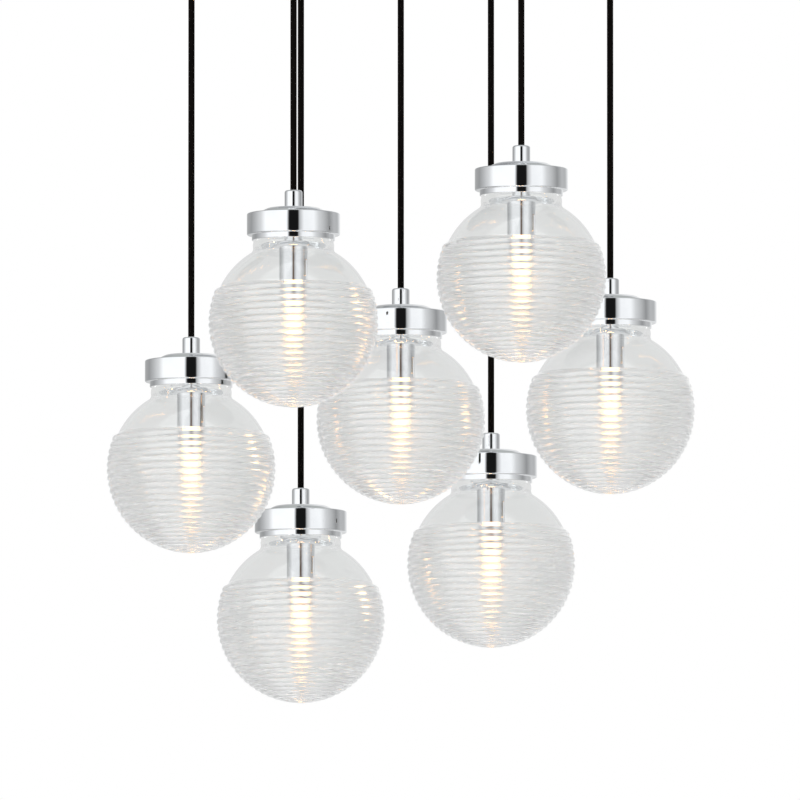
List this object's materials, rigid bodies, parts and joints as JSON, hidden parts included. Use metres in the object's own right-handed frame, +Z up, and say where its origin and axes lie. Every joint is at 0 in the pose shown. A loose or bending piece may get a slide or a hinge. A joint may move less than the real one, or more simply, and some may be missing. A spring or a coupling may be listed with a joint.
{
  "type": "cluster pendant light",
  "caption": "Cluster pendant with ribbed glass globes on straight cords under a round chrome ceiling canopy, each with a chrome cap, sleeve and capsule bulb.",
  "frame": {"origin": "centre of the canopy on the ceiling, on the top face of the ceiling bracket", "axes": "+Z up into the ceiling, the lamps hang towards -Z, +X to the right and -Y towards the viewer in front"},
  "size_m": [0.522, 0.4775, 0.6798],
  "materials": {
    "chrome": "polished chrome plate",
    "zinc": "bright zinc-plated steel",
    "block_plastic": "moulded off-white",
    "brass_screws": "plain brass",
    "cord_sheath": "matt black round sheath",
    "globe_glass": "clear pressed glass with horizontal ribs",
    "ceramic": "unglazed white ceramic",
    "bulb_glass": "clear capsule glass, lit warm white"
  },
  "bodies": {
    "canopy": {"canopy_cover": "chrome", "ceiling_bracket": "zinc", "canopy_studs": "zinc", "canopy_cap_nuts": "chrome", "terminal_block": "block_plastic", "terminal_screws": "brass_screws", "terminal_block_screws": "zinc", "earth_screw": "brass_screws", "canopy_leads": "cord_sheath", "outlet_grips": "chrome", "outlet_nuts": "zinc"},
    "hanging_cord_front_left": {"cord_front_left": "cord_sheath"},
    "lamp_front_left": {"cord_grip_front_left": "chrome", "cap_front_left": "chrome", "globe_front_left": "globe_glass", "lamp_sleeve_front_left": "chrome", "lampholder_front_left": "ceramic", "bulb_front_left": "bulb_glass"},
    "hanging_cord_front_right": {"cord_front_right": "cord_sheath"},
    "lamp_front_right": {"cord_grip_front_right": "chrome", "cap_front_right": "chrome", "globe_front_right": "globe_glass", "lamp_sleeve_front_right": "chrome", "lampholder_front_right": "ceramic", "bulb_front_right": "bulb_glass"},
    "hanging_cord_centre": {"cord_centre": "cord_sheath"},
    "lamp_centre": {"cord_grip_centre": "chrome", "cap_centre": "chrome", "globe_centre": "globe_glass", "lamp_sleeve_centre": "chrome", "lampholder_centre": "ceramic", "bulb_centre": "bulb_glass"},
    "hanging_cord_left": {"cord_left": "cord_sheath"},
    "lamp_left": {"cord_grip_left": "chrome", "cap_left": "chrome", "globe_left": "globe_glass", "lamp_sleeve_left": "chrome", "lampholder_left": "ceramic", "bulb_left": "bulb_glass"},
    "hanging_cord_right": {"cord_right": "cord_sheath"},
    "lamp_right": {"cord_grip_right": "chrome", "cap_right": "chrome", "globe_right": "globe_glass", "lamp_sleeve_right": "chrome", "lampholder_right": "ceramic", "bulb_right": "bulb_glass"},
    "hanging_cord_back_left": {"cord_back_left": "cord_sheath"},
    "lamp_back_left": {"cord_grip_back_left": "chrome", "cap_back_left": "chrome", "globe_back_left": "globe_glass", "lamp_sleeve_back_left": "chrome", "lampholder_back_left": "ceramic", "bulb_back_left": "bulb_glass"},
    "hanging_cord_back_right": {"cord_back_right": "cord_sheath"},
    "lamp_back_right": {"cord_grip_back_right": "chrome", "cap_back_right": "chrome", "globe_back_right": "globe_glass", "lamp_sleeve_back_right": "chrome", "lampholder_back_right": "ceramic", "bulb_back_right": "bulb_glass"}
  },
  "joints": [
    {"name": "cord_swing_front_left", "type": "hinge", "parent": "canopy", "child": "hanging_cord_front_left", "pos_m": [-0.09468, -0.1601, -0.035], "axis": [1, 0, 0], "range_deg": [-8, 8]},
    {"name": "lamp_tilt_front_left", "type": "hinge", "parent": "hanging_cord_front_left", "child": "lamp_front_left", "pos_m": [-0.09468, -0.1601, -0.2619], "axis": [0, 1, 0], "range_deg": [-8, 8]},
    {"name": "cord_swing_front_right", "type": "hinge", "parent": "canopy", "child": "hanging_cord_front_right", "pos_m": [0.10642, -0.15255, -0.035], "axis": [1, 0, 0], "range_deg": [-8, 8]},
    {"name": "lamp_tilt_front_right", "type": "hinge", "parent": "hanging_cord_front_right", "child": "lamp_front_right", "pos_m": [0.10642, -0.15255, -0.2214], "axis": [0, 1, 0], "range_deg": [-8, 8]},
    {"name": "cord_swing_centre", "type": "hinge", "parent": "canopy", "child": "hanging_cord_centre", "pos_m": [0, 0, -0.035], "axis": [1, 0, 0], "range_deg": [-8, 8]},
    {"name": "lamp_tilt_centre", "type": "hinge", "parent": "hanging_cord_centre", "child": "lamp_centre", "pos_m": [0, 0, -0.3329], "axis": [0, 1, 0], "range_deg": [-8, 8]},
    {"name": "cord_swing_left", "type": "hinge", "parent": "canopy", "child": "hanging_cord_left", "pos_m": [-0.186, 0, -0.035], "axis": [1, 0, 0], "range_deg": [-8, 8]},
    {"name": "lamp_tilt_left", "type": "hinge", "parent": "hanging_cord_left", "child": "lamp_left", "pos_m": [-0.186, 0, -0.3764], "axis": [0, 1, 0], "range_deg": [-8, 8]},
    {"name": "cord_swing_right", "type": "hinge", "parent": "canopy", "child": "hanging_cord_right", "pos_m": [0.186, 0, -0.035], "axis": [1, 0, 0], "range_deg": [-8, 8]},
    {"name": "lamp_tilt_right", "type": "hinge", "parent": "hanging_cord_right", "child": "lamp_right", "pos_m": [0.186, 0, -0.3239], "axis": [0, 1, 0], "range_deg": [-8, 8]},
    {"name": "cord_swing_back_left", "type": "hinge", "parent": "canopy", "child": "hanging_cord_back_left", "pos_m": [-0.08932, 0.16315, -0.035], "axis": [1, 0, 0], "range_deg": [-8, 8]},
    {"name": "lamp_tilt_back_left", "type": "hinge", "parent": "hanging_cord_back_left", "child": "lamp_back_left", "pos_m": [-0.08932, 0.16315, -0.4959], "axis": [0, 1, 0], "range_deg": [-8, 8]},
    {"name": "cord_swing_back_right", "type": "hinge", "parent": "canopy", "child": "hanging_cord_back_right", "pos_m": [0.08066, 0.1676, -0.035], "axis": [1, 0, 0], "range_deg": [-8, 8]},
    {"name": "lamp_tilt_back_right", "type": "hinge", "parent": "hanging_cord_back_right", "child": "lamp_back_right", "pos_m": [0.08066, 0.1676, -0.4459], "axis": [0, 1, 0], "range_deg": [-8, 8]}
  ]
}
